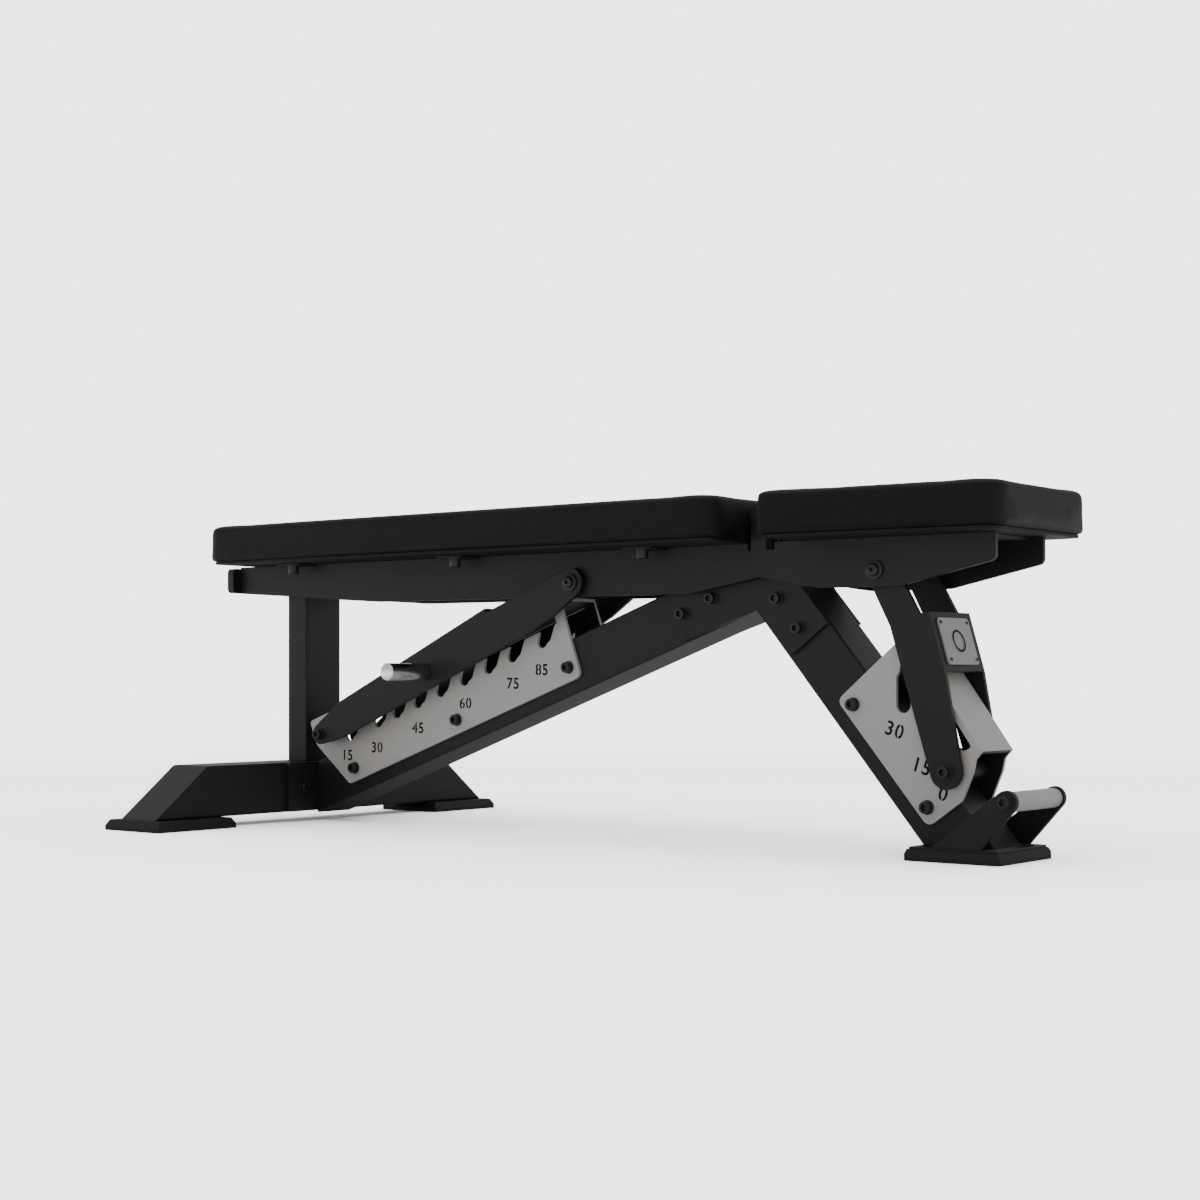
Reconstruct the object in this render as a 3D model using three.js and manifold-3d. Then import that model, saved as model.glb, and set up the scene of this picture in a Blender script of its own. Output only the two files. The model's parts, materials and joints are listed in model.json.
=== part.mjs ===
// Adjustable weight bench: a T-shaped tube frame, a backrest that tilts from flat
// to nearly upright and a seat that tilts up at the front. Each is held by a folded
// strut whose pins drop into the pockets of a toothed ladder bolted to the frame.
//
// Millimetres, +Z up, +X towards the seat's front, Y = 0 the plane of symmetry.
// The origin is on the floor under the middle of the bench.

import * as THREE from 'three';
import { mergeVertices } from 'three/addons/utils/BufferGeometryUtils.js';
import Module from 'manifold-3d';

const wasm = await Module();
wasm.setup();

// ---------------------------------------------------------------- driving dimensions

const GAP = 0.3;                                    // clearance between touching pieces
const deg = THREE.MathUtils.degToRad;

// Pads and the boards under them.
const PAD = { bottom: 394, top: 447.3, edge: 8 };
const BACK_PAD = { rear: -651, front: 297.5, rearHalf: 151, frontHalf: 151, rearCorner: 30, frontCorner: 30 };
const SEAT_PAD = { rear: 357, front: 676, rearHalf: 151, frontHalf: 127, rearCorner: 10, frontCorner: 32 };
const BOARD = { thickness: 3.4, inset: 9 };

// Folded plate side members. half = distance from Y = 0 to the outer face.
const PLATE_TOP = 390;
const BACK_PLATE = { half: 56.25, thickness: 6 };
const SEAT_PLATE = { half: 64.8, thickness: 6 };

// The one axle that the backrest and the seat both turn on.
const HINGE = { x: 310, z: 425, lug: 11.5, pin: 6 };

// Tube frame. Both tubes are measured from the inside corner of the elbow.
const TUBE = { width: 70, depth: 74, wall: 3, corner: 3 };
const ELBOW = { x: 286.8, z: 304.4, trimTop: 388 };
const SPINE_ANGLE = deg(19.9);
const LEG_ANGLE = deg(-49.9);

// Rear foot.
const REAR = { x: -564, depth: 75, bottom: 15.3, top: 90, halfTop: 246, halfBottom: 345 };
const POST = { depth: 40, width: 72.6, wall: 3, top: 371, corner: 2 };
const FLANGE = { half: 94, thickness: 6, boltY: 66, boltZ: 52 };
const REAR_PAD = { depth: 120, inner: 211, outer: 356.5, height: 15, lip: 5, chamfer: 6, corner: 4 };

// Front foot and its lift handle.
const FRONT_PAD = { x: 585, depth: 129, half: 70.5, height: 14, lip: 5, chamfer: 4.5, corner: 8 };
const SOLE = { rear: 525.5, front: 644.5, half: 65.8, thickness: 2.4 };
const CHEEK = { half: 65.5, thickness: 6, tipX: 655.5, tipZ: 74.3, tip: 14, rear: 557, front: 623 };
const HANDLE_RADIUS = 12;

// Ladders: plates on both sides of a tube, joined by a folded web.
const LADDER = { half: 40.3, sheet: 5, seat: 90, pocket: 9 };
const REAR_LADDER = { rearTop: -821, rearBottom: -772, front: -297, bottom: 18, top: 134 };
const REAR_LADDER_BOLTS = [-753, -533, -313];
const FRONT_LADDER_BOLTS = [186, 347];
const BOLT_LINE = 37;                               // bolts run through the middle of the tube

// Struts. pivot and pin are at rest, with the bench flat.
const BACK_STRUT = { half: 66, sheet: 6, pivot: [3, 348], pin: [-483, 133], lobe: 20, tip: 15 };
const SEAT_STRUT = { half: 51, sheet: 6, pivot: [479.5, 350.3], pin: [569, 106.4], lobe: 20, tip: 21 };
const BACK_STOPS = [15, 30, 37.5, 45, 52.5, 60, 67.5, 75, 85];
const SEAT_STOPS = [0, 15, 30];
const GRIP = { x: -268, z: 226.5, radius: 12.5, end: 143 };

// Fasteners: M8 socket head screws and the axles of the struts.
const BOLT = { radius: 4, head: 7.5, headHeight: 9, nut: 8, nutHeight: 7, socket: 4 };
const AXLE = { radius: 7, washer: 12, washerHeight: 2.5, head: 8, headHeight: 5 };

// ---------------------------------------------------------------- colours

const BLACK_POWDER_COAT = { color: 0x232323, roughness: 0.55, metalness: 0.3 };
const GREY_POWDER_COAT = { color: 0x8f8c86, roughness: 0.5, metalness: 0.4 };
const HANDLE_GREY = { color: 0x7d8185, roughness: 0.45, metalness: 0.4 };
const VINYL = { color: 0x1b1b1c, roughness: 0.6, metalness: 0.0 };
const BOARD_BLACK = { color: 0x161616, roughness: 0.8, metalness: 0.0 };
const RUBBER = { color: 0x262626, roughness: 0.85, metalness: 0.0 };
const BLACK_STEEL = { color: 0x1c1c1c, roughness: 0.4, metalness: 0.8 };
const BRUSHED_STEEL = { color: 0xb4b4b2, roughness: 0.35, metalness: 0.9 };

const group = new THREE.Group();

// ---------------------------------------------------------------- solids

/** Turns a closed geometry into a manifold solid. */
function solid(geometry) {
  const bare = geometry.clone();
  bare.deleteAttribute('normal');
  bare.deleteAttribute('uv');
  const merged = mergeVertices(bare, 1e-4);
  return new wasm.Manifold(new wasm.Mesh({
    numProp: 3,
    vertProperties: new Float32Array(merged.attributes.position.array),
    triVerts: new Uint32Array(merged.index.array),
  }));
}

/** Turns a manifold solid back into a geometry. */
function geometryOf(manifold) {
  const mesh = manifold.getMesh();
  const geometry = new THREE.BufferGeometry();
  geometry.setAttribute('position', new THREE.BufferAttribute(new Float32Array(mesh.vertProperties), 3));
  geometry.setIndex(new THREE.BufferAttribute(new Uint32Array(mesh.triVerts), 1));
  geometry.computeVertexNormals();
  return geometry;
}

/** Adds a named mesh to the bench. */
function add(name, shape, finish) {
  const geometry = shape.isBufferGeometry ? shape : geometryOf(shape);
  const mesh = new THREE.Mesh(geometry, new THREE.MeshStandardMaterial(finish));
  mesh.name = name;
  group.add(mesh);
}

/** Adds a copy on each side: make(side) gets -1 for the left, +1 for the right. */
function addPair(name, make, finish) {
  for (const [label, side] of [['left', -1], ['right', 1]]) add(`${name}_${label}`, make(side), finish);
}

/** A closed outline through points [x, z, radius], each corner rounded by its radius. */
function outline(points, radius = 0) {
  const shape = new THREE.Shape();
  const count = points.length;
  points.forEach(([x, z, own = radius], i) => {
    const here = new THREE.Vector2(x, z);
    if (own === 0) {
      if (i === 0) shape.moveTo(x, z);
      else shape.lineTo(x, z);
      return;
    }
    const before = new THREE.Vector2(...points[(i + count - 1) % count]).sub(here).normalize();
    const after = new THREE.Vector2(...points[(i + 1) % count]).sub(here).normalize();
    const reach = own / Math.tan(Math.acos(THREE.MathUtils.clamp(before.dot(after), -1, 1)) / 2);
    const start = here.clone().addScaledVector(before, reach);
    const end = here.clone().addScaledVector(after, reach);
    if (i === 0) shape.moveTo(start.x, start.y);
    else shape.lineTo(start.x, start.y);
    shape.quadraticCurveTo(x, z, end.x, end.y);
  });
  shape.closePath();
  return shape;
}

/** Extrudes an outline drawn in X and Z along Y, from y0 to y1. */
function slab(shape, y0, y1, curveSegments = 5) {
  const geometry = new THREE.ExtrudeGeometry(shape, { depth: y1 - y0, bevelEnabled: false, curveSegments });
  return geometry.rotateX(Math.PI / 2).translate(0, y1, 0);
}

/** Extrudes an outline drawn in X and Y upwards, from z0 to z1. */
function layer(shape, z0, z1, curveSegments = 6) {
  const geometry = new THREE.ExtrudeGeometry(shape, { depth: z1 - z0, bevelEnabled: false, curveSegments });
  return geometry.translate(0, 0, z0);
}

/** A plate of one side: its outer face is at half, on the given side. */
function sidePlate(shape, side, half, thickness, curveSegments) {
  const y = side * half;
  return slab(shape, Math.min(y, y - side * thickness), Math.max(y, y - side * thickness), curveSegments);
}

/** A cylinder along Y between y0 and y1. */
function rod(x, z, radius, y0, y1, segments = 24) {
  return new THREE.CylinderGeometry(radius, radius, y1 - y0, segments).translate(x, (y0 + y1) / 2, z);
}

function box(x0, x1, y0, y1, z0, z1) {
  return new THREE.BoxGeometry(x1 - x0, y1 - y0, z1 - z0)
    .translate((x0 + x1) / 2, (y0 + y1) / 2, (z0 + z1) / 2);
}

/** A rectangle with rounded corners, centred on the origin. */
function roundedRectangle(width, height, radius) {
  const [w, h] = [width / 2, height / 2];
  return outline([[-w, -h], [w, -h], [w, h], [-w, h]], radius);
}

/** A straight length of box tube along Z, open at both ends. */
function boxTube(width, depth, wall, corner, length) {
  const section = roundedRectangle(width, depth, corner);
  section.holes.push(roundedRectangle(width - 2 * wall, depth - 2 * wall, Math.max(corner - wall, 1)));
  return new THREE.ExtrudeGeometry(section, { depth: length, bevelEnabled: false, curveSegments: 3 });
}

/** A slot with round ends, as an outline, from a to b in X and Z. */
function slotOutline([ax, az], [bx, bz], radius) {
  const angle = Math.atan2(bz - az, bx - ax);
  const shape = new THREE.Shape();
  shape.absarc(bx, bz, radius, angle - Math.PI / 2, angle + Math.PI / 2, false);
  shape.absarc(ax, az, radius, angle + Math.PI / 2, angle + 1.5 * Math.PI, false);
  shape.closePath();
  return shape;
}

/** A plate with a round end at each of two centres, joined by straight edges with waypoints. */
function strutOutline(top, topRadius, leftSide, bottom, bottomRadius, rightSide) {
  const angleTo = ([cx, cz], [x, z]) => Math.atan2(z - cz, x - cx);
  const shape = new THREE.Shape();
  const tangent = (centre, radius, point, sign) => {
    const reach = Math.hypot(point[0] - centre[0], point[1] - centre[1]);
    return angleTo(centre, point) + sign * Math.acos(radius / reach);
  };
  const lastRight = rightSide[rightSide.length - 1];
  const lastLeft = leftSide[leftSide.length - 1];
  shape.absarc(...top, topRadius, tangent(top, topRadius, lastRight, 1),
    tangent(top, topRadius, leftSide[0], -1) + 2 * Math.PI, false);
  leftSide.forEach(([x, z]) => shape.lineTo(x, z));
  shape.absarc(...bottom, bottomRadius, tangent(bottom, bottomRadius, lastLeft, 1),
    tangent(bottom, bottomRadius, rightSide[0], -1) + 2 * Math.PI, false);
  rightSide.forEach(([x, z]) => shape.lineTo(x, z));
  shape.closePath();
  return shape;
}

// ---------------------------------------------------------------- coordinates along the tubes

/** A point s along a tube from the elbow's inside corner and n above its lower face. */
function onTube(angle, s, n) {
  return [
    ELBOW.x + s * Math.cos(angle) - n * Math.sin(angle),
    ELBOW.z + s * Math.sin(angle) + n * Math.cos(angle),
  ];
}

const onSpine = (s, n) => onTube(SPINE_ANGLE, s, n);
const onLeg = (s, n) => onTube(LEG_ANGLE, s, n);

/** The opposite of onTube: the [s, n] of a point in X and Z. */
function alongTube(angle, [x, z]) {
  const [dx, dz] = [x - ELBOW.x, z - ELBOW.z];
  return [dx * Math.cos(angle) + dz * Math.sin(angle), dz * Math.cos(angle) - dx * Math.sin(angle)];
}

/** Where a strut's pivot is once its pad frame has tilted up by an angle; side is -1 behind the hinge. */
function tilted([x, z], angle, side) {
  const [dx, dz] = [x - HINGE.x, z - HINGE.z];
  const turn = deg(angle) * side;
  return [
    HINGE.x + dx * Math.cos(turn) - dz * Math.sin(turn),
    HINGE.z + dx * Math.sin(turn) + dz * Math.cos(turn),
  ];
}

/** How far along a tube the strut's pin seats at a tilt; towards is the side of the pivot it lies on. */
function seatAlong(tubeAngle, strut, tilt, side, towards) {
  const length = Math.hypot(strut.pivot[0] - strut.pin[0], strut.pivot[1] - strut.pin[1]);
  const [s, n] = alongTube(tubeAngle, tilted(strut.pivot, tilt, side));
  return s + towards * Math.sqrt(length ** 2 - (n - LADDER.seat) ** 2);
}

const backSeats = BACK_STOPS.map((tilt) => seatAlong(SPINE_ANGLE, BACK_STRUT, tilt, -1, -1));
const seatSeats = SEAT_STOPS.map((tilt) => seatAlong(LEG_ANGLE, SEAT_STRUT, tilt, 1, 1));
const rearRest = alongTube(SPINE_ANGLE, BACK_STRUT.pin);

// ---------------------------------------------------------------- fasteners

/** Cuts round holes along Y through a solid. */
function drill(body, centres, radius) {
  return centres.reduce(
    (left, [x, z]) => left.subtract(solid(rod(x, z, radius, -200, 200, 16))), body);
}

/** A socket head: a short cylinder with a hexagonal recess in its outer face. */
function socketHead(x, z, face, side) {
  const end = face + side * BOLT.headHeight;
  const floor = end - side * BOLT.headHeight / 2;
  const head = solid(rod(x, z, BOLT.head, Math.min(face, end), Math.max(face, end)));
  return head.subtract(solid(rod(x, z, BOLT.socket, Math.min(floor, end + side), Math.max(floor, end + side), 6)));
}

/** A screw through a tube from the left, with its nut on the right. */
function throughBolt([x, z], half) {
  const face = half + GAP;
  return solid(rod(x, z, BOLT.radius, -face - BOLT.headHeight / 4, face + BOLT.nutHeight / 2, 16))
    .add(socketHead(x, z, -face, -1))
    .add(solid(rod(x, z, BOLT.nut, face, face + BOLT.nutHeight, 6)));
}

/** A plain axle along Y with a washer and a button head at each end. */
function strutAxle([x, z], half) {
  const face = half + GAP;
  const washer = face + AXLE.washerHeight;
  const profile = [
    [0, -washer - AXLE.headHeight], [AXLE.head * 0.6, -washer - AXLE.headHeight],
    [AXLE.head, -washer - AXLE.headHeight * 0.5], [AXLE.head, -washer], [AXLE.washer, -washer],
    [AXLE.washer, -face], [AXLE.radius, -face], [AXLE.radius, face], [AXLE.washer, face],
    [AXLE.washer, washer], [AXLE.head, washer], [AXLE.head, washer + AXLE.headHeight * 0.5],
    [AXLE.head * 0.6, washer + AXLE.headHeight], [0, washer + AXLE.headHeight],
  ].map(([r, y]) => new THREE.Vector2(r, y));
  return new THREE.LatheGeometry(profile, 24).translate(x, 0, z);
}

// ---------------------------------------------------------------- tube frame

/** The region a tube keeps between its end cuts, as a solid wide enough to cut any tube. */
const keep = (points) => solid(slab(outline(points), -100, 100));

/** A box tube laid along one of the frame's two directions, long enough to be cut at both ends. */
function tubeAlong(angle, start, length) {
  return boxTube(TUBE.depth, TUBE.width, TUBE.wall, TUBE.corner, length)
    .rotateY(Math.PI / 2)
    .translate(start, 0, TUBE.depth / 2)
    .rotateY(-angle)
    .translate(ELBOW.x, 0, ELBOW.z);
}

const gussetBolts = [onSpine(-107, BOLT_LINE), onSpine(-56, BOLT_LINE + 2), onLeg(11, BOLT_LINE), onLeg(61, BOLT_LINE)];
const rearLadderBolts = REAR_LADDER_BOLTS.map((s) => onSpine(s, BOLT_LINE));
const frontLadderBolts = FRONT_LADDER_BOLTS.map((s) => onLeg(s, BOLT_LINE));

// The mitre runs from the inside corner to the corner where the two upper faces would meet.
const mitreLean = Math.tan((SPINE_ANGLE - LEG_ANGLE) / 2) * TUBE.depth;
const mitreTop = onSpine(mitreLean, TUBE.depth);
const mitreDirection = new THREE.Vector2(mitreTop[0] - ELBOW.x, mitreTop[1] - ELBOW.z).normalize();
const mitreAt = (distance, offset) => [
  ELBOW.x + mitreDirection.x * distance + mitreDirection.y * offset,
  ELBOW.z + mitreDirection.y * distance - mitreDirection.x * offset,
];

function spineTube() {
  const rearCut = REAR.x + REAR.depth / 2 + FLANGE.thickness + 2 * GAP;
  const region = keep([
    [rearCut, -100], mitreAt(-300, -GAP / 2), mitreAt(60, -GAP / 2),
    [ELBOW.x, ELBOW.trimTop], [rearCut, ELBOW.trimTop],
  ]);
  const cut = solid(tubeAlong(SPINE_ANGLE, -1000, 1200)).intersect(region);
  return drill(cut, [...gussetBolts.slice(0, 2), ...rearLadderBolts], BOLT.radius + GAP);
}

function frontLegTube() {
  const soleTop = FRONT_PAD.height + SOLE.thickness + 2 * GAP;
  const region = keep([
    mitreAt(-400, GAP / 2), [900, soleTop], [900, ELBOW.trimTop],
    [ELBOW.x + 20, ELBOW.trimTop], mitreAt(60, GAP / 2),
  ]).intersect(solid(box(-100, 900, -100, 100, soleTop, ELBOW.trimTop)));
  const cut = solid(tubeAlong(LEG_ANGLE, -200, 800)).intersect(region);
  return drill(cut, [...gussetBolts.slice(2), ...frontLadderBolts], BOLT.radius + GAP);
}

/** A plate over the elbow that rises to carry the hinge between the pads. */
function elbowGusset(side) {
  const [left, margin, end] = [-120, 3.5, 80];
  const top = TUBE.depth - 1;
  const shape = outline([
    onSpine(left, margin), onLeg(2.5, margin), [...onLeg(end, margin), 8], onLeg(end + 4, top + 1),
    onLeg(-30, top), [HINGE.x + HINGE.lug, HINGE.z], [HINGE.x + HINGE.lug, HINGE.z + HINGE.lug, HINGE.lug - 0.5],
    [HINGE.x - HINGE.lug, HINGE.z + HINGE.lug, HINGE.lug - 0.5], [HINGE.x - HINGE.lug, HINGE.z],
    [HINGE.x - HINGE.lug, ELBOW.trimTop - 2], onSpine(left, top),
  ]);
  const plate = solid(sidePlate(shape, side, LADDER.half, LADDER.sheet));
  return drill(drill(plate, gussetBolts, BOLT.radius + GAP), [[HINGE.x, HINGE.z]], HINGE.pin + GAP);
}

function buildFrame() {
  add('spine_tube', spineTube(), BLACK_POWDER_COAT);
  add('front_leg_tube', frontLegTube(), BLACK_POWDER_COAT);
  addPair('elbow_gusset', elbowGusset, BLACK_POWDER_COAT);
  gussetBolts.forEach((centre, i) => add(`gusset_bolt_${i + 1}`, throughBolt(centre, LADDER.half), BLACK_STEEL));
}

// ---------------------------------------------------------------- rear foot

/** The rear cross tube: closed, slanted ends, and a drain hole under the middle. */
function rearCrossTube() {
  const { x, depth, bottom, top, halfTop, halfBottom } = REAR;
  const section = roundedRectangle(depth, top - bottom, TUBE.corner);
  const bar = new THREE.ExtrudeGeometry(section, { depth: 2 * halfBottom, bevelEnabled: false, curveSegments: 3 })
    .rotateX(Math.PI / 2).translate(x, halfBottom, (top + bottom) / 2);
  const wall = TUBE.wall;
  const trapezium = (grow) => {
    const shape = new THREE.Shape();
    shape.moveTo(-halfBottom - grow, bottom - 1);
    shape.lineTo(halfBottom + grow, bottom - 1);
    shape.lineTo(halfTop + grow, top + 1);
    shape.lineTo(-halfTop - grow, top + 1);
    shape.closePath();
    return new THREE.ExtrudeGeometry(shape, { depth: 2 * depth, bevelEnabled: false })
      .rotateX(Math.PI / 2).rotateZ(Math.PI / 2).translate(x - depth, 0, 0);
  };
  const hollow = box(x - depth / 2 + wall, x + depth / 2 - wall, -halfBottom, halfBottom, bottom + wall, top - wall);
  const inside = solid(hollow).intersect(solid(trapezium(-2 * wall)));
  const drain = new THREE.CylinderGeometry(5, 5, 4 * wall, 16).rotateX(Math.PI / 2).translate(x, 0, bottom);
  const body = solid(bar).intersect(solid(trapezium(0))).subtract(inside).subtract(solid(drain));
  return [-1, 1].reduce((left, side) => {
    const hole = new THREE.CylinderGeometry(BOLT.radius + GAP, BOLT.radius + GAP, depth, 16).rotateZ(Math.PI / 2);
    return left.subtract(solid(hole.translate(x + depth / 2, side * FLANGE.boltY, FLANGE.boltZ)));
  }, body);
}

/** A rubber foot: upright lip, then a chamfer in to the top. */
function rubberFoot(centreX, centreY, depth, width, { height, lip, chamfer, corner }) {
  const base = layer(roundedRectangle(depth, width, corner), 0, height);
  const upper = height - lip;
  const trim = (size, turn) => {
    const shape = new THREE.Shape();
    shape.moveTo(-size / 2 - 1, -1);
    shape.lineTo(size / 2 + 1, -1);
    shape.lineTo(size / 2, lip);
    shape.lineTo(size / 2 - chamfer, lip + upper);
    shape.lineTo(-size / 2 + chamfer, lip + upper);
    shape.lineTo(-size / 2, lip);
    shape.closePath();
    return solid(new THREE.ExtrudeGeometry(shape, { depth: 400, bevelEnabled: false })
      .translate(0, 0, -200).rotateX(Math.PI / 2).rotateZ(turn));
  };
  const foot = solid(base).intersect(trim(depth, 0)).intersect(trim(width, Math.PI / 2));
  return geometryOf(foot).translate(centreX, centreY, 0);
}

function buildRearFoot() {
  add('rear_cross_tube', rearCrossTube(), BLACK_POWDER_COAT);
  const middle = (REAR_PAD.inner + REAR_PAD.outer) / 2;
  const width = REAR_PAD.outer - REAR_PAD.inner;
  addPair('rear_foot', (side) => rubberFoot(REAR.x, side * middle, REAR_PAD.depth, width, REAR_PAD), RUBBER);

  const face = REAR.x + REAR.depth / 2 + GAP;
  const sheet = slab(roundedRectangle(2 * FLANGE.half, REAR.top - REAR.bottom - 1, 4), 0, FLANGE.thickness)
    .rotateZ(-Math.PI / 2).translate(face, 0, (REAR.top + REAR.bottom) / 2);
  const flange = [-1, 1].reduce((left, side) => {
    const hole = new THREE.CylinderGeometry(BOLT.radius + GAP, BOLT.radius + GAP, 40, 16).rotateZ(Math.PI / 2);
    return left.subtract(solid(hole.translate(face, side * FLANGE.boltY, FLANGE.boltZ)));
  }, solid(sheet));
  add('spine_flange', flange, BLACK_POWDER_COAT);
  addPair('flange_bolt', (side) => {
    const length = 30;
    const screw = solid(rod(0, 0, BOLT.radius, 0, length, 16)).add(socketHead(0, 0, 0, -1));
    return geometryOf(screw).rotateZ(Math.PI / 2)
      .translate(face + FLANGE.thickness + GAP, side * FLANGE.boltY, FLANGE.boltZ);
  }, BLACK_STEEL);

  const post = boxTube(POST.depth, POST.width, POST.wall, POST.corner, POST.top - REAR.top - GAP);
  add('rear_post', post.translate(REAR.x, 0, REAR.top + GAP), BLACK_POWDER_COAT);
  const cap = solid(layer(roundedRectangle(POST.depth, POST.width, POST.corner), 0, 4));
  const buffer = cap.add(solid(layer(roundedRectangle(28, POST.width - 16, 6), 0, PLATE_TOP - POST.top - 2 * GAP)));
  add('post_buffer', geometryOf(buffer).translate(REAR.x, 0, POST.top + GAP), RUBBER);
}

// ---------------------------------------------------------------- front foot and lift handle

function buildFrontFoot() {
  const { x, depth, half } = FRONT_PAD;
  add('front_foot', rubberFoot(x, 0, depth, 2 * half, FRONT_PAD), RUBBER);
  const soleBottom = FRONT_PAD.height + GAP;
  const sole = layer(roundedRectangle(SOLE.front - SOLE.rear, 2 * SOLE.half, 6), soleBottom, soleBottom + SOLE.thickness);
  add('front_sole_plate', sole.translate((SOLE.front + SOLE.rear) / 2, 0, 0), BLACK_POWDER_COAT);

  const floor = soleBottom + SOLE.thickness + GAP;
  const tip = [CHEEK.tipX, CHEEK.tipZ];
  addPair('handle_cheek', (side) => {
    const shape = new THREE.Shape();
    shape.moveTo(CHEEK.rear, floor);
    shape.lineTo(CHEEK.front, floor);
    shape.absarc(...tip, CHEEK.tip, deg(-42), deg(129), false);
    shape.closePath();
    return drill(solid(sidePlate(shape, side, CHEEK.half, CHEEK.thickness)), [tip], BOLT.radius + GAP);
  }, BLACK_POWDER_COAT);

  const inner = CHEEK.half - CHEEK.thickness - GAP;
  const sleeve = solid(rod(...tip, HANDLE_RADIUS, -inner, inner, 32));
  add('lift_handle', sleeve.subtract(solid(rod(...tip, BOLT.radius + GAP, -100, 100, 16))), HANDLE_GREY);
  add('handle_bolt', throughBolt(tip, CHEEK.half), BLACK_STEEL);
}

// ---------------------------------------------------------------- ladders

/** Joins two side plates and a web, both drawn in X and Z, and cuts the slots through them. */
function foldedSheet(half, sheet, plateShape, webShape, slots) {
  const plates = [-1, 1].map((side) => solid(sidePlate(plateShape, side, half, sheet)));
  const web = solid(slab(webShape, -half, half));
  const folded = plates[0].add(web).add(plates[1]);
  return slots.reduce((left, slot) => left.subtract(solid(slab(slot, -half - 1, half + 1, 7))), folded);
}

/** The cuts that make one pocket: a hook under the tooth behind it and a ramp up the tooth in front. */
function rearPocket(s) {
  const { pocket, seat } = LADDER;
  const [mouth, lean] = [seat + 16, 13];
  return [
    slotOutline(onSpine(s + 2, seat - 3), onSpine(s + 2 + lean, mouth), pocket),
    outline([onSpine(s + 6, 80), [...onSpine(s + 17, 84), 8], onSpine(s + 35, mouth), onSpine(s + 6, mouth)]),
  ];
}

function rearLadder() {
  const { rearTop, rearBottom, front, bottom, top } = REAR_LADDER;
  const roof = top - LADDER.sheet;
  const plate = outline([
    [...onSpine(rearBottom, bottom), 6], [...onSpine(front, bottom), 12], onSpine(front, top),
    [...onSpine(rearTop, top), 6], [...onSpine(rearTop + 1, 97), 20],
  ]);
  const web = outline([
    onSpine(rearTop + 12, roof), onSpine(front, roof), onSpine(front, top), onSpine(rearTop + 12, top),
  ]);
  const [rest, low] = [rearRest[0], rearRest[1] - LADDER.pocket];
  const end = backSeats[backSeats.length - 1] + 35;
  const teeth = 101;
  const channel = outline([
    [...onSpine(rest - 15, low), 8], onSpine(rest + 14, low), onSpine(rest + 30, teeth), onSpine(end, teeth),
    [...onSpine(end, roof - 1), 6], [...onSpine(rest - 15, roof - 1), 8],
  ]);
  const slots = [channel, ...backSeats.flatMap(rearPocket)];
  return drill(foldedSheet(LADDER.half, LADDER.sheet, plate, web, slots), rearLadderBolts, BOLT.radius + GAP);
}

function frontLadder() {
  const plate = outline([
    [...onLeg(167, 22), 10], [...onLeg(366, 22), 12], [...onLeg(370, 78), 5], onLeg(353, 111),
    [...onLeg(343, 124), 4], onLeg(341, 137), onLeg(167, 150),
  ]);
  const web = outline([
    onLeg(341, 137), onLeg(175, 149.4), onLeg(175, 149.4 - LADDER.sheet), onLeg(341, 137 - LADDER.sheet),
  ]);
  const teeth = 104;
  const [low, , high] = seatSeats;
  const channel = outline([
    [...onLeg(high - 48, 130), 6], onLeg(high - 28, teeth), onLeg(low - 28, teeth),
    [...onLeg(low - 8, 119), 4], [...onLeg(low - 5, 130), 4], [...onLeg(high - 36, 141), 6],
  ]);
  const slots = [channel, ...seatSeats.map((s) => (
    slotOutline(onLeg(s, LADDER.seat + 1), onLeg(s - 24, teeth + 7), LADDER.pocket + 1)))];
  return drill(foldedSheet(LADDER.half, LADDER.sheet, plate, web, slots), frontLadderBolts, BOLT.radius + GAP);
}

function buildLadders() {
  add('rear_ladder', rearLadder(), GREY_POWDER_COAT);
  add('front_ladder', frontLadder(), GREY_POWDER_COAT);
  rearLadderBolts.forEach((centre, i) => add(`rear_ladder_bolt_${i + 1}`, throughBolt(centre, LADDER.half), BLACK_STEEL));
  frontLadderBolts.forEach((centre, i) => add(`front_ladder_bolt_${i + 1}`, throughBolt(centre, LADDER.half), BLACK_STEEL));
}

// ---------------------------------------------------------------- hinge

function buildHinge() {
  const { x, z, pin, lug } = HINGE;
  const inner = LADDER.half - LADDER.sheet - GAP;
  const sleeve = (y0, y1) => solid(rod(x, z, lug - 0.5, y0, y1)).subtract(solid(rod(x, z, pin + GAP, -200, 200)));
  add('hinge_barrel', sleeve(-inner, inner), BLACK_POWDER_COAT);
  const gapStart = LADDER.half + GAP;
  const gapEnd = BACK_PLATE.half - BACK_PLATE.thickness - GAP;
  addPair('hinge_spacer', (side) => sleeve(Math.min(side * gapStart, side * gapEnd),
    Math.max(side * gapStart, side * gapEnd)), BLACK_STEEL);
  const face = SEAT_PLATE.half + GAP;
  const axle = solid(rod(x, z, pin, -face - 2, face + 2))
    .add(solid(rod(x, z, lug - 2, -face - 5, -face, 6)))
    .add(solid(rod(x, z, lug - 2, face, face + 5, 6)));
  add('hinge_axle', axle, BLACK_STEEL);
}

// ---------------------------------------------------------------- pads

/** A pad's outline from above: a symmetrical trapezium with round corners, drawn in by an inset. */
function padOutline({ rear, front, rearHalf, frontHalf, rearCorner, frontCorner }, inset) {
  const [x0, x1, y0, y1] = [rear + inset, front - inset, rearHalf - inset, frontHalf - inset];
  const [r0, r1] = [Math.max(rearCorner - inset, 2), frontCorner - inset];
  return outline([[x0, -y0, r0], [x1, -y1, r1], [x1, y1, r1], [x0, y0, r0]]);
}

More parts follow.
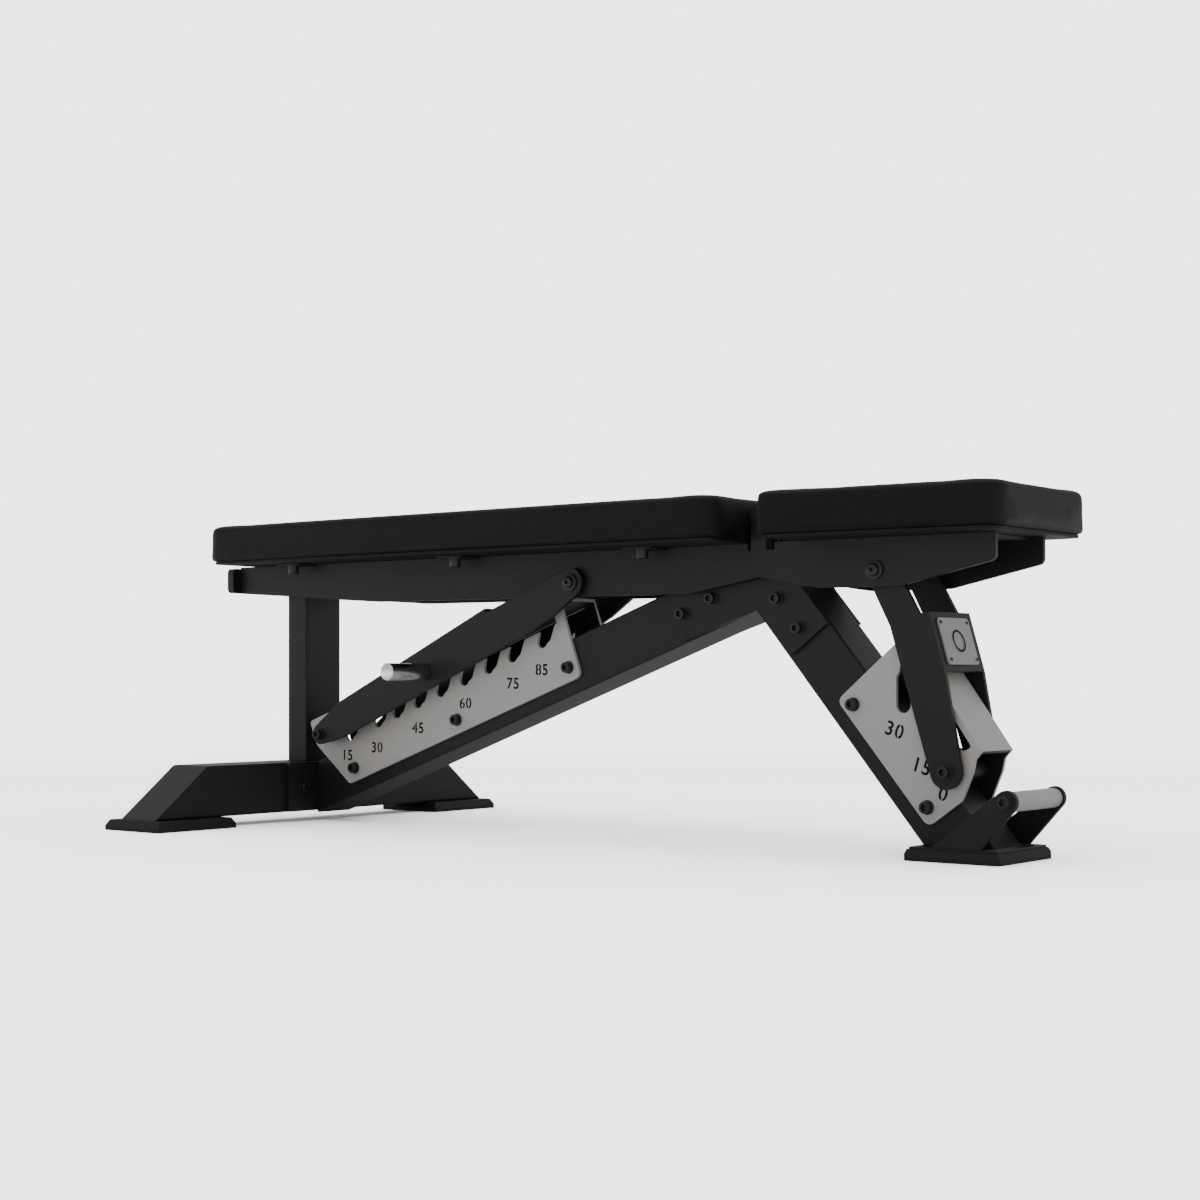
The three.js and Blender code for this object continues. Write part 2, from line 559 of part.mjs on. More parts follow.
/** A cushion: straight sides and a rounded upper edge. */
function cushion(pad) {
  const { bottom, top, edge } = PAD;
  const rounded = new THREE.ExtrudeGeometry(padOutline(pad, edge), {
    depth: top - bottom - edge, bevelEnabled: true, bevelSize: edge, bevelThickness: edge,
    bevelSegments: 3, curveSegments: 6,
  }).translate(0, 0, bottom);
  return solid(rounded).intersect(solid(box(-1000, 1000, -300, 300, bottom, top + 1)));
}

/** The plywood board under a pad. */
function board(pad) {
  return layer(padOutline(pad, BOARD.inset), PAD.bottom - GAP - BOARD.thickness, PAD.bottom - GAP);
}

// ---------------------------------------------------------------- backrest

const STRAPS = { centres: [-525, -195, 137], width: 48, thickness: 3.2, half: 95 };
const strapBottom = PLATE_TOP - STRAPS.thickness;

function backrestPlate(side) {
  const { x, z, lug, pin } = HINGE;
  const [rear, strutGap] = [-670, 22];
  const shape = outline([
    [rear, 349, 3], [-566, 342.7], [-449, 334.7], [-370, 330], [195, 328], [306, 347], [x + lug, 349.5],
    [x + lug, z + lug, lug - 0.5], [x - lug, z + lug, lug - 0.5], [x - lug, 381], [x - strutGap, 381],
    [x - strutGap, PLATE_TOP], [rear, PLATE_TOP],
  ]);
  const plate = solid(sidePlate(shape, side, BACK_PLATE.half, BACK_PLATE.thickness));
  const notched = STRAPS.centres.reduce((left, centre) => left.subtract(solid(box(
    centre - STRAPS.width / 2 - GAP, centre + STRAPS.width / 2 + GAP, -200, 200, strapBottom - GAP, 500))), plate);
  return drill(drill(notched, [[x, z]], pin + GAP), [BACK_STRUT.pivot], AXLE.radius + GAP);
}

function buildBackrest() {
  addPair('backrest_side_plate', backrestPlate, BLACK_POWDER_COAT);
  const endPlate = layer(roundedRectangle(38, 144, 8), 0, 12.7).rotateY(Math.PI / 2);
  add('backrest_end_plate', endPlate.translate(-683, 0, 369), BLACK_POWDER_COAT);
  STRAPS.centres.forEach((centre, i) => {
    const name = `backrest_strap_${['rear', 'middle', 'front'][i]}`;
    const shape = roundedRectangle(STRAPS.width, 2 * STRAPS.half, 6);
    add(name, layer(shape, strapBottom, PLATE_TOP).translate(centre, 0, 0), BLACK_POWDER_COAT);
  });
  const inner = BACK_PLATE.half - BACK_PLATE.thickness - GAP;
  const sleeve = solid(rod(...BACK_STRUT.pivot, 12, -inner, inner)).subtract(
    solid(rod(...BACK_STRUT.pivot, AXLE.radius + GAP, -200, 200)));
  add('backrest_cross_tube', sleeve, BLACK_POWDER_COAT);
  add('backrest_strut_axle', strutAxle(BACK_STRUT.pivot, BACK_STRUT.half), BLACK_STEEL);
  add('backrest_board', board(BACK_PAD), BOARD_BLACK);
  add('backrest_pad', cushion(BACK_PAD), VINYL);
}

// ---------------------------------------------------------------- seat

function seatPlate(side) {
  const { x, z, lug, pin } = HINGE;
  const front = 642;
  const shape = outline([
    [x - lug, 349, 9], [372.4, 334.2, 30], [401, 330.1, 10], [515, 330.1, 30], [front, 357.5, 8],
    [front, PLATE_TOP], [334, PLATE_TOP], [334, 380.5], [x + lug, 380.5],
    [x + lug, z + lug, lug - 0.5], [x - lug, z + lug, lug - 0.5],
  ]);
  const plate = solid(sidePlate(shape, side, SEAT_PLATE.half, SEAT_PLATE.thickness));
  return drill(drill(plate, [[x, z]], pin + GAP), [SEAT_STRUT.pivot], AXLE.radius + GAP);
}

function buildSeat() {
  addPair('seat_side_plate', seatPlate, BLACK_POWDER_COAT);
  const inner = SEAT_PLATE.half - SEAT_PLATE.thickness - GAP;
  [['rear', 420], ['front', 600]].forEach(([label, centre]) => {
    const shape = roundedRectangle(50, 2 * inner, 3);
    add(`seat_strap_${label}`, layer(shape, PLATE_TOP - 4, PLATE_TOP).translate(centre, 0, 0), BLACK_POWDER_COAT);
  });
  add('seat_strut_axle', strutAxle(SEAT_STRUT.pivot, SEAT_PLATE.half), BLACK_STEEL);
  add('seat_board', board(SEAT_PAD), BOARD_BLACK);
  add('seat_pad', cushion(SEAT_PAD), VINYL);
}

// ---------------------------------------------------------------- struts

/** A strut's ladder pin on one side: screw head outside, bush inside that stops short of the ladder. */
function ladderPin([x, z], strut, side) {
  const outer = strut.half + GAP;
  const inner = strut.half - strut.sheet - GAP;
  const end = LADDER.half + GAP;
  const bush = [Math.min(side * end, side * inner), Math.max(side * end, side * inner)];
  const shaft = [Math.min(side * end, side * (outer + 2)), Math.max(side * end, side * (outer + 2))];
  return solid(rod(x, z, BOLT.radius, ...shaft, 16))
    .add(solid(rod(x, z, strut.tip - 3, ...bush)))
    .add(socketHead(x, z, side * outer, side));
}

function backrestStrut() {
  const { pivot, pin, lobe, tip, half, sheet } = BACK_STRUT;
  const [foldStart, foldEnd] = [[-305, 245.2], [-152, 315.7]];
  const along = new THREE.Vector2(foldEnd[0] - foldStart[0], foldEnd[1] - foldStart[1]).normalize();
  const inward = [along.y * sheet, -along.x * sheet];
  const relief = [foldEnd[0] + inward[0] * 1.1, foldEnd[1] + inward[1] * 1.1];
  const plate = strutOutline(pivot, lobe, [relief, foldEnd, [-444, 181]], pin, tip,
    [[-437, 128.3], [-64.6, 283.3], [-26, 304]]);
  const web = outline([
    foldStart, [foldStart[0] + inward[0], foldStart[1] + inward[1]],
    [foldEnd[0] + inward[0], foldEnd[1] + inward[1]], foldEnd,
  ]);
  const folded = foldedSheet(half, sheet, plate, web, []);
  return drill(drill(folded, [pivot], AXLE.radius + GAP), [pin], BOLT.radius + GAP);
}

const BADGE = { top: [546, 299], bottom: [567.5, 227], halfWidth: 38, thickness: 2 };

function seatStrut() {
  const { pivot, pin, lobe, tip, half, sheet } = SEAT_STRUT;
  const { top, bottom } = BADGE;
  const along = new THREE.Vector2(bottom[0] - top[0], bottom[1] - top[1]).normalize();
  const inward = [along.y * sheet, -along.x * sheet];
  const plate = strutOutline(pivot, lobe, [[470, 325.6], [492.9, 281.6]], pin, tip,
    [bottom, top, [533, 296.8]]);
  const web = outline([
    top, [top[0] + inward[0], top[1] + inward[1]], [bottom[0] + inward[0], bottom[1] + inward[1]], bottom,
  ]);
  const folded = foldedSheet(half, sheet, plate, web, []);
  return drill(drill(folded, [pivot], AXLE.radius + GAP), [pin], BOLT.radius + GAP);
}

/** A thin plate on the strut's front web, left blank. */
function badgePlate() {
  const { top, bottom, halfWidth, thickness } = BADGE;
  const along = new THREE.Vector2(bottom[0] - top[0], bottom[1] - top[1]);
  const length = along.length() - 16;
  const lean = Math.atan2(-along.y, along.x);
  const shape = roundedRectangle(length, 2 * halfWidth, 5);
  return layer(shape, GAP, GAP + thickness).rotateY(lean)
    .translate((top[0] + bottom[0]) / 2, 0, (top[1] + bottom[1]) / 2);
}

function buildStruts() {
  add('backrest_strut', backrestStrut(), BLACK_POWDER_COAT);
  addPair('backrest_ladder_pin', (side) => ladderPin(BACK_STRUT.pin, BACK_STRUT, side), BLACK_STEEL);
  addPair('strut_grip', (side) => {
    const [near, far] = [side * (BACK_STRUT.half + GAP), side * GRIP.end];
    return rod(GRIP.x, GRIP.z, GRIP.radius, Math.min(near, far), Math.max(near, far), 32);
  }, BRUSHED_STEEL);
  add('seat_strut', seatStrut(), BLACK_POWDER_COAT);
  addPair('seat_ladder_pin', (side) => ladderPin(SEAT_STRUT.pin, SEAT_STRUT, side), BLACK_STEEL);
  add('badge_plate', badgePlate(), GREY_POWDER_COAT);
}

// ---------------------------------------------------------------- bench

buildRearFoot();
buildFrame();
buildLadders();
buildFrontFoot();
buildHinge();
buildBackrest();
buildSeat();
buildStruts();

export default group;
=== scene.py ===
"""Looks of an adjustable weight bench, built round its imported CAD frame.

Blender carries over every metal CAD node with a procedural finish, and makes the pads,
the fasteners, the bar ends and the dial numbers anew. Lengths are metres and the frame is
the CAD's: +X towards the seat's front, +Z up, the origin on the floor under the middle.
"""

import json
import logging
import math
from dataclasses import dataclass
from enum import Enum
from typing import Sequence

import bmesh
import bpy
from mathutils import Matrix, Vector


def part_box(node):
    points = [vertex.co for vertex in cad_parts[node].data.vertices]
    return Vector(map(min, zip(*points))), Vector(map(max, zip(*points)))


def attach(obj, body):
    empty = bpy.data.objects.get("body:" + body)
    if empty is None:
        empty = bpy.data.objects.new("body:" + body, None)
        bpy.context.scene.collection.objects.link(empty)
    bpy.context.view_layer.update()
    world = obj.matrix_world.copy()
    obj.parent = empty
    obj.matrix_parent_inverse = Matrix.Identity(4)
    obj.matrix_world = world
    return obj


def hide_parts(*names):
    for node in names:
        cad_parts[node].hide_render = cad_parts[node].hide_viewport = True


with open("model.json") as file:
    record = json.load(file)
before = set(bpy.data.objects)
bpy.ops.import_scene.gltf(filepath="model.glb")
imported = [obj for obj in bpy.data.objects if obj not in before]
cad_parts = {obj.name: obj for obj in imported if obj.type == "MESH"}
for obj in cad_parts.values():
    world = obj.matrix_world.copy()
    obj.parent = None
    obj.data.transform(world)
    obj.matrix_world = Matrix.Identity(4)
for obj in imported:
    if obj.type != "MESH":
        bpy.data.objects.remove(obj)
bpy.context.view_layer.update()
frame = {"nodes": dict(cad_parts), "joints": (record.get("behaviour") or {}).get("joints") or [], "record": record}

MM = 0.001
HAIR = 0.02 * MM  # parts that lie on one another

log = logging.getLogger("weight_bench")


class Side(Enum):
    """The bench's two sides, valued by the sign of Y."""

    LEFT = -1
    RIGHT = 1

    @property
    def label(self) -> str:
        """The side's name as node names end in it."""
        return self.name.lower()


# ------------------------------------------------------------------ shader graph


class Wire:
    """A value in a shader graph that can be used in Python expressions."""

    def __init__(self, graph: "Graph", socket: bpy.types.NodeSocket) -> None:
        """Wraps an output socket.

        Args:
            graph: The graph that the socket belongs to.
            socket: The output socket.
        """
        self.graph = graph
        self.socket = socket

    def _math(self, operation: str, a: "Wire | float", b: "Wire | float") -> "Wire":
        """Adds a Math node for one operation on two values."""
        return self.graph.node("ShaderNodeMath", {"operation": operation}, {0: a, 1: b})

    def __add__(self, other: "Wire | float") -> "Wire":
        """self + other."""
        return self._math("ADD", self, other)

    def __sub__(self, other: "Wire | float") -> "Wire":
        """self - other."""
        return self._math("SUBTRACT", self, other)

    def __rsub__(self, other: float) -> "Wire":
        """other - self."""
        return self._math("SUBTRACT", other, self)

    def __mul__(self, other: "Wire | float") -> "Wire":
        """self * other."""
        return self._math("MULTIPLY", self, other)

    def below(self, limit: float) -> "Wire":
        """1 where the value is under a limit, 0 elsewhere."""
        return self._math("LESS_THAN", self, limit)

    __radd__ = __add__
    __rmul__ = __mul__


class Graph:
    """The node tree of one material, with its Principled shader."""

    def __init__(self, name: str) -> None:
        """Starts a material.

        Args:
            name: The material's name.
        """
        self.material = bpy.data.materials.new(name)
        self.material.use_nodes = True
        self.tree = self.material.node_tree
        self.shader = self.tree.nodes["Principled BSDF"]

    def node(
        self,
        kind: str,
        settings: dict[str, object] | None = None,
        inputs: dict[int | str, object] | None = None,
        output: int | str = 0,
    ) -> Wire:
        """Adds a node.

        Args:
            kind: The node's type.
            settings: Its properties, and under "stops" a colour ramp's positions and greys.
            inputs: Values or wires by the name or number of their socket.
            output: The name or number of the output that is wanted.

        Returns:
            The output, as a wire.
        """
        node = self.tree.nodes.new(kind)
        for key, value in (settings or {}).items():
            if key == "stops":
                self._set_stops(node, value)
            else:
                setattr(node, key, value)
        for key, value in (inputs or {}).items():
            self._feed(node.inputs[key], value)
        return Wire(self, node.outputs[output])

    def _set_stops(self, node: bpy.types.Node, stops: Sequence[tuple[float, float]]) -> None:
        """Sets a colour ramp's stops, each a position and a grey."""
        elements = node.color_ramp.elements
        for element, (position, grey) in zip(elements, stops):
            element.position = position
            element.color = (grey, grey, grey, 1.0)

    def _feed(self, socket: bpy.types.NodeSocket, value: object) -> None:
        """Links a wire to a socket, or sets the socket to a plain value."""
        if isinstance(value, Wire):
            self.tree.links.new(value.socket, socket)
        else:
            socket.default_value = value

    def surface(self, **inputs: object) -> bpy.types.Material:
        """Sets the Principled shader's sockets.

        Args:
            **inputs: Values or wires by socket name, with _ for each space.

        Returns:
            The finished material.
        """
        for key, value in inputs.items():
            self._feed(self.shader.inputs[key.replace("_", " ")], value)
        return self.material

    def place(self, stretch: tuple[float, float, float] = (1.0, 1.0, 1.0)) -> Wire:
        """The point on the piece, in metres, stretched along each axis."""
        here = self.node("ShaderNodeTexCoord", output="Object")
        if stretch == (1.0, 1.0, 1.0):
            return here
        return self.node("ShaderNodeMapping", None, {"Vector": here, "Scale": stretch})

    def noise(self, where: Wire, scale: float, detail: float = 3.0) -> Wire:
        """Noise from 0 to 1, with about scale features to the metre."""
        return self.node(
            "ShaderNodeTexNoise", None, {"Vector": where, "Scale": scale, "Detail": detail}
        )

    def ramp(self, value: Wire, low: tuple[float, float], high: tuple[float, float]) -> Wire:
        """Maps a value between two stops, each a position and a grey."""
        return self.node("ShaderNodeValToRGB", {"stops": [low, high]}, {"Fac": value})

    def mix(self, mask: "Wire | float", a: object, b: object) -> Wire:
        """Mixes colour a into colour b as mask goes from 0 to 1."""
        return self.node("ShaderNodeMix", {"data_type": "RGBA"}, {0: mask, 6: a, 7: b}, 2)

    def bump(self, height: Wire, depth: float, rounding: float = 0.0) -> Wire:
        """A normal from a height.

        Args:
            height: The height, from 0 to 1.
            depth: How deep a height of 1 is, in metres.
            rounding: The radius that sharp edges seem to have, in metres.

        Returns:
            The normal.
        """
        inputs = {"Height": height, "Distance": depth, "Strength": 1.0}
        if rounding:
            inputs["Normal"] = self.node("ShaderNodeBevel", {"samples": 6}, {"Radius": rounding})
        return self.node("ShaderNodeBump", None, inputs)


Colour = tuple[float, float, float, float]


def grey(level: float, warmth: float = 0.0) -> Colour:
    """A grey of a linear level, a little redder for a positive warmth and bluer for a negative one."""
    return (level * (1 + warmth), level, level * (1 - warmth), 1.0)


# ------------------------------------------------------------------ finishes


@dataclass(frozen=True)
class PowderCoat:
    """Baked powder paint on steel: a fine orange peel and slightly uneven gloss.

    A coat with painted inner shade turns black on the faces that look in towards the plane of symmetry, and on the
    underside of whatever joins them: painted shade where shade falls inside a ladder.
    """

    name: str
    colour: Colour
    roughness: float
    specular: float
    rounding: float = 0.9 * MM
    peel_scale: float = 900.0
    peel_depth: float = 0.035 * MM
    painted_inner_shade: bool = False

    def material(self) -> bpy.types.Material:
        """Builds the material."""
        g = Graph(self.name)
        here = g.place()
        peel = g.noise(here, self.peel_scale, 2.0)
        speckle = g.noise(here, self.peel_scale * 3.0, 1.0)
        cloud = g.noise(here, 9.0, 4.0)
        darker = tuple(0.86 * c for c in self.colour[:3]) + (1.0,)
        lighter = tuple(1.12 * c for c in self.colour[:3]) + (1.0,)
        colour = g.mix(cloud * 0.7 + speckle * 0.3, darker, lighter)
        if self.painted_inner_shade:
            # painted shade: the faces inside the ladder are turned near black where shade falls in the channel
            colour = g.mix(self.inside(g, here), colour, grey(0.012))
        return g.surface(
            Base_Color=colour,
            Roughness=self.roughness - 0.05 + cloud * 0.06 + peel * 0.04,
            Specular_IOR_Level=self.specular,
            Normal=g.bump(peel, self.peel_depth, self.rounding),
        )

    def inside(self, g: Graph, here: Wire) -> Wire:
        """The mask of the painted shade: 1 on the inner faces of a folded sheet and 0 elsewhere."""
        facing = g.node("ShaderNodeTexCoord", output="Normal")
        across = g.node("ShaderNodeSeparateXYZ", None, {0: here}, "Y")
        turned = g.node("ShaderNodeSeparateXYZ", None, {0: facing}, "Y")
        upward = g.node("ShaderNodeSeparateXYZ", None, {0: facing}, "Z")
        inward = (across * turned).below(-10 * MM)
        between = (across * across).below((35.2 * MM) ** 2)
        return inward + between * upward.below(-0.3)


@dataclass(frozen=True)
class BareSteel:
    """Turned or oxidised steel with lines that run round the piece."""

    name: str
    colour: Colour
    roughness: float
    metallic: float
    stretch: tuple[float, float, float] = (1.0, 60.0, 1.0)

    def material(self) -> bpy.types.Material:
        """Builds the material."""
        g = Graph(self.name)
        lines = g.noise(g.place(self.stretch), 60.0, 5.0)
        smudge = g.noise(g.place(), 45.0, 3.0)
        darker = tuple(0.8 * c for c in self.colour[:3]) + (1.0,)
        return g.surface(
            Base_Color=g.mix(lines * 0.6 + smudge * 0.4, darker, self.colour),
            Roughness=self.roughness - 0.08 + lines * 0.1 + smudge * 0.08,
            Metallic=self.metallic,
            Normal=g.bump(lines, 0.012 * MM, 0.3 * MM),
        )


@dataclass(frozen=True)
class GrainedVinyl:
    """Upholstery vinyl: small closed pebbles parted by fine creases, with a soft sheen; the creases are darkened
    as painted shade.
    """

    name: str
    colour: Colour
    roughness: float
    specular: float
    pebble: float = 1.5 * MM
    depth: float = 0.11 * MM

    def material(self) -> bpy.types.Material:
        """Builds the material."""
        g = Graph(self.name)
        here = g.place()
        warp = g.node("ShaderNodeTexNoise", None, {"Vector": here, "Scale": 240.0}, 1)
        shift = g.node("ShaderNodeVectorMath", {"operation": "SCALE"}, {0: warp, "Scale": 1.2 * MM})
        bent = g.node("ShaderNodeVectorMath", {"operation": "ADD"}, {0: here, 1: shift})
        crease = g.node(
            "ShaderNodeTexVoronoi",
            {"feature": "DISTANCE_TO_EDGE"},
            {"Vector": bent, "Scale": 1 / self.pebble},
        )
        pebble = g.ramp(crease, (0.0, 0.0), (0.22, 1.0))
        fine = g.noise(here, 2600.0, 2.0)
        wear = g.noise(here, 6.0, 4.0)
        height = pebble * 0.8 + fine * 0.2
        # painted shade: the creases between pebbles are darkened, mixed with a random wear tone
        crease_shade_colour = tuple(0.6 * c for c in self.colour[:3]) + (1.0,)
        return g.surface(
            Base_Color=g.mix(pebble * 0.7 + wear * 0.3, crease_shade_colour, self.colour),
            Roughness=self.roughness - 0.07 + (1 - pebble) * 0.12 + wear * 0.08,
            Specular_IOR_Level=self.specular,
            Normal=g.bump(height, self.depth),
        )


@dataclass(frozen=True)
class MouldedRubber:
    """Matt rubber with a fine pitted skin and a little dust."""

    name: str
    colour: Colour
    roughness: float

    def material(self) -> bpy.types.Material:
        """Builds the material."""
        g = Graph(self.name)
        here = g.place()
        pits = g.noise(here, 1500.0, 4.0)
        dust = g.ramp(g.noise(here, 30.0, 5.0), (0.45, 0.0), (0.8, 1.0))
        dusty = tuple(1.7 * c for c in self.colour[:3]) + (1.0,)
        return g.surface(
            Base_Color=g.mix(dust * 0.6, self.colour, dusty),
            Roughness=self.roughness + dust * 0.08,
            Specular_IOR_Level=0.25,
            Normal=g.bump(pits, 0.06 * MM, 1.0 * MM),
        )


@dataclass(frozen=True)
class PaintedPly:
    """Plywood under thin black paint that lets the grain show."""

    name: str
    colour: Colour

    def material(self) -> bpy.types.Material:
        """Builds the material."""
        g = Graph(self.name)
        grain = g.noise(g.place((1.0, 22.0, 22.0)), 14.0, 6.0)
        darker = tuple(0.65 * c for c in self.colour[:3]) + (1.0,)
        return g.surface(
            Base_Color=g.mix(grain, darker, self.colour),
            Roughness=0.62 + grain * 0.16,
            Specular_IOR_Level=0.25,
            Normal=g.bump(grain, 0.12 * MM),
        )


@dataclass(frozen=True)
class SeamlessPaper:
    """A pale studio floor that fades into the backdrop away from the bench.

    Attributes:
        name: The material's name.
        colour: The paper's colour as it lights the bench.
        seen_colour: The brighter colour that the camera sees.
        backdrop: What it fades into.
        fade_start: How far from the origin the fade starts.
        fade_end: How far away it ends.
    """

    name: str
    colour: Colour
    seen_colour: Colour
    backdrop: Colour
    fade_start: float
    fade_end: float

    def material(self) -> bpy.types.Material:
        """Builds the material."""
        g = Graph(self.name)
        here = g.place()
        reach = g.node("ShaderNodeVectorMath", {"operation": "LENGTH"}, {0: here}, "Value")
        fade = g.node(
            "ShaderNodeMapRange",
            {"interpolation_type": "SMOOTHSTEP"},
            {"Value": reach, "From Min": self.fade_start, "From Max": self.fade_end},
        )
        glow = g.node("ShaderNodeEmission", None, {"Color": self.backdrop, "Strength": 1.0})
        seen = g.node("ShaderNodeLightPath", output="Is Camera Ray")
        g.surface(Base_Color=g.mix(seen, self.colour, self.seen_colour), Roughness=0.6, Specular_IOR_Level=0.2)
        out = g.tree.nodes["Material Output"]
        blended = g.node("ShaderNodeMixShader", None, {0: fade, 1: Wire(g, g.shader.outputs[0]), 2: glow})
        g.tree.links.new(blended.socket, out.inputs["Surface"])
        return g.material


BLACK_COAT = PowderCoat("black_powder_coat", grey(0.0105), 0.48, 0.24)
# the grey coat carries painted shade on the inner faces of the ladders
GREY_COAT = PowderCoat(
    "grey_powder_coat", grey(0.38, 0.045), 0.42, 0.4, rounding=0.6 * MM, painted_inner_shade=True
)
BADGE_PRINT = PowderCoat("badge_print", grey(0.26, 0.02), 0.4, 0.35, rounding=0.3 * MM)
HANDLE_COAT = PowderCoat("handle_powder_coat", grey(0.32, -0.05), 0.36, 0.5)
VINYL = GrainedVinyl("vinyl", grey(0.005), 0.5, 0.13)
PLY = PaintedPly("board", grey(0.006))
RUBBER = MouldedRubber("foot_rubber", grey(0.009), 0.62)
BLACK_OXIDE = BareSteel("black_steel", grey(0.012), 0.42, 0.25)
BRIGHT_STEEL = BareSteel("brushed_steel", grey(0.7, 0.01), 0.24, 1.0)
# on the ladder numbers this is painted shade for the dark seen through the cut-outs; on the badge ring it is ink
INK_AND_CUTOUT_SHADE = MouldedRubber("number_ink", grey(0.004), 0.8)
FINISHES = (
    BLACK_COAT, GREY_COAT, BADGE_PRINT, HANDLE_COAT, VINYL, PLY, RUBBER, BLACK_OXIDE,
    BRIGHT_STEEL, INK_AND_CUTOUT_SHADE,
)


# ------------------------------------------------------------------ mesh tools


def make_piece(
    name: str, bm: bmesh.types.BMesh, body: str, slot: str, smooth: float = 0.0
) -> bpy.types.Object:
    """Turns a bmesh into a piece that rides on a body.

    Args:
        name: The piece's name.
        bm: Its mesh, which is freed.
        body: The CAD body that it moves with.
        slot: The record's material slot, which also names its material.
        smooth: The angle in degrees below which edges are shaded smooth, or 0 for flat faces.

    Returns:
        The new object.
    """
    bmesh.ops.recalc_face_normals(bm, faces=bm.faces[:])
    mesh = bpy.data.meshes.new(name)
    bm.to_mesh(mesh)
    bm.free()
    piece = bpy.data.objects.new(name, mesh)
    bpy.context.collection.objects.link(piece)
    if smooth:
        mesh.polygons.foreach_set("use_smooth", [True] * len(mesh.polygons))
        mesh.set_sharp_from_angle(angle=math.radians(smooth))
    mesh.materials.append(bpy.data.materials[slot])
    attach(piece, body)
    return piece


def lift(bm: bmesh.types.BMesh, geom: Sequence[object], height: float) -> None:
    """Moves the vertices among some geometry up by a height."""
    verts = [item for item in geom if isinstance(item, bmesh.types.BMVert)]
    bmesh.ops.translate(bm, vec=(0, 0, height), verts=verts)


def disc(bm: bmesh.types.BMesh, radius: float, height: float, sides: int = 32) -> bmesh.types.BMFace:
    """Adds an upright prism on the plane Z = 0.

    Args:
        bm: The mesh that it is added to.
        radius: Its radius.
        height: Its height.
        sides: How many sides it has.

    Returns:
        Its top face.
    """
    made = bmesh.ops.create_circle(bm, cap_ends=True, radius=radius, segments=sides)
    base = made["verts"][0].link_faces[0]
    copy = bmesh.ops.extrude_face_region(bm, geom=[base], use_keep_orig=True)["geom"]
    lift(bm, copy, height)
    return next(f for f in copy if isinstance(f, bmesh.types.BMFace))


def soften(
    bm: bmesh.types.BMesh, face: bmesh.types.BMFace, width: float, steps: int = 2
) -> bmesh.types.BMFace:
    """Bevels the rim of a flat face and returns the face that is left in its middle."""
    centre = face.calc_center_median()
    bmesh.ops.bevel(
        bm, geom=face.edges[:], offset=width, segments=steps, profile=0.5, affect="EDGES", material=-1
    )
    return min(
        (f for f in bm.faces if len(f.verts) > 4),
        key=lambda f: (f.calc_center_median() - centre).length,
    )


def sink_hexagon(bm: bmesh.types.BMesh, face: bmesh.types.BMFace, across: float, depth: float) -> None:
    """Sinks a hexagon socket into a round flat face on the Z axis.

    Args:
        bm: The mesh.
        face: The face, with a multiple of six corners.
        across: The socket's width across its flats.
        depth: How deep it is.
    """
    rim = max(v.co.xy.length for v in face.verts)
    bmesh.ops.inset_region(bm, faces=[face], thickness=rim - across * 0.56, use_even_offset=True)
    for vert in face.verts:
        turn = math.atan2(vert.co.y, vert.co.x) % math.radians(60) - math.radians(30)
        reach = across / 2 / math.cos(turn)
        vert.co.xy = vert.co.xy.normalized() * reach
    floor = bmesh.ops.extrude_face_region(bm, geom=[face])["geom"]
    lift(bm, floor, -depth)
    if face.is_valid:
        bmesh.ops.delete(bm, geom=[face], context="FACES_ONLY")


def aim(bm: bmesh.types.BMesh, place: Vector, direction: Vector) -> None:
    """Turns a mesh built up along +Z to point along a direction, then moves it to a place."""
    turn = direction.to_track_quat("Z", "Y").to_matrix().to_4x4()
    bmesh.ops.transform(bm, matrix=Matrix.Translation(place) @ turn, verts=bm.verts[:])


def absorb(bm: bmesh.types.BMesh, other: bmesh.types.BMesh) -> None:
    """Copies one mesh into another and frees it."""
    spare = bpy.data.meshes.new("spare")
    other.to_mesh(spare)
    other.free()
    bm.from_mesh(spare)
    bpy.data.meshes.remove(spare)


@dataclass(frozen=True)
class Fastener:
    """A screw head on its washer, seen from outside.

    Attributes:
        washer: The washer's radius.
        washer_height: Its thickness.
        head: The head's radius.
        head_height: Its height above the washer.
        socket: The hexagon socket's width across flats.
        crown: How wide the head's rounded rim is.
    """

    washer: float
    washer_height: float
    head: float
    head_height: float
    socket: float
    crown: float

    def build(self, bm: bmesh.types.BMesh, place: Vector, direction: Vector) -> None:
        """Adds the fastener with its seat at a place, standing along a direction."""
        washer = bmesh.new()
        soften(washer, disc(washer, self.washer, self.washer_height), 0.35 * MM)
        head = bmesh.new()
        top = soften(head, disc(head, self.head, self.head_height, 36), self.crown, 3)
        sink_hexagon(head, top, self.socket, min(self.head_height * 0.6, 4 * MM))
        lift(head, head.verts[:], self.washer_height + HAIR)
        for part in (washer, head):
            aim(part, place, direction)
            absorb(bm, part)


CAP_SCREW = Fastener(8.8 * MM, 1.4 * MM, 7.4 * MM, 7.5 * MM, 8 * MM, 0.9 * MM)
PIVOT_SCREW = Fastener(12 * MM, 2.5 * MM, 8 * MM, 5 * MM, 5 * MM, 2.2 * MM)
BUTTON_SCREW = Fastener(9 * MM, 1.6 * MM, 8 * MM, 10.6 * MM, 6 * MM, 1.6 * MM)


def lock_nut(bm: bmesh.types.BMesh, place: Vector, direction: Vector) -> None:
    """Adds a washer and a lock nut with a rounded collar, with its seat at a place."""
    level = 0.0
    washer = (8.8 * MM, 1.2 * MM, 32, 0.3 * MM)
    hexagon = (8.0 * MM, 4.5 * MM, 6, 0.5 * MM)
    collar = (6.0 * MM, 1.2 * MM, 32, 0.8 * MM)
    for radius, height, sides, rim in (washer, hexagon, collar):
        part = bmesh.new()
        soften(part, disc(part, radius, height, sides), rim)
        aim(part, place + direction * level, direction)
        absorb(bm, part)
        level += height + HAIR


def node_centre(node: str) -> Vector:
    """The middle of a CAD node's box."""
    low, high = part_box(node)
    return (Vector(low) + Vector(high)) / 2


# ------------------------------------------------------------------ fasteners


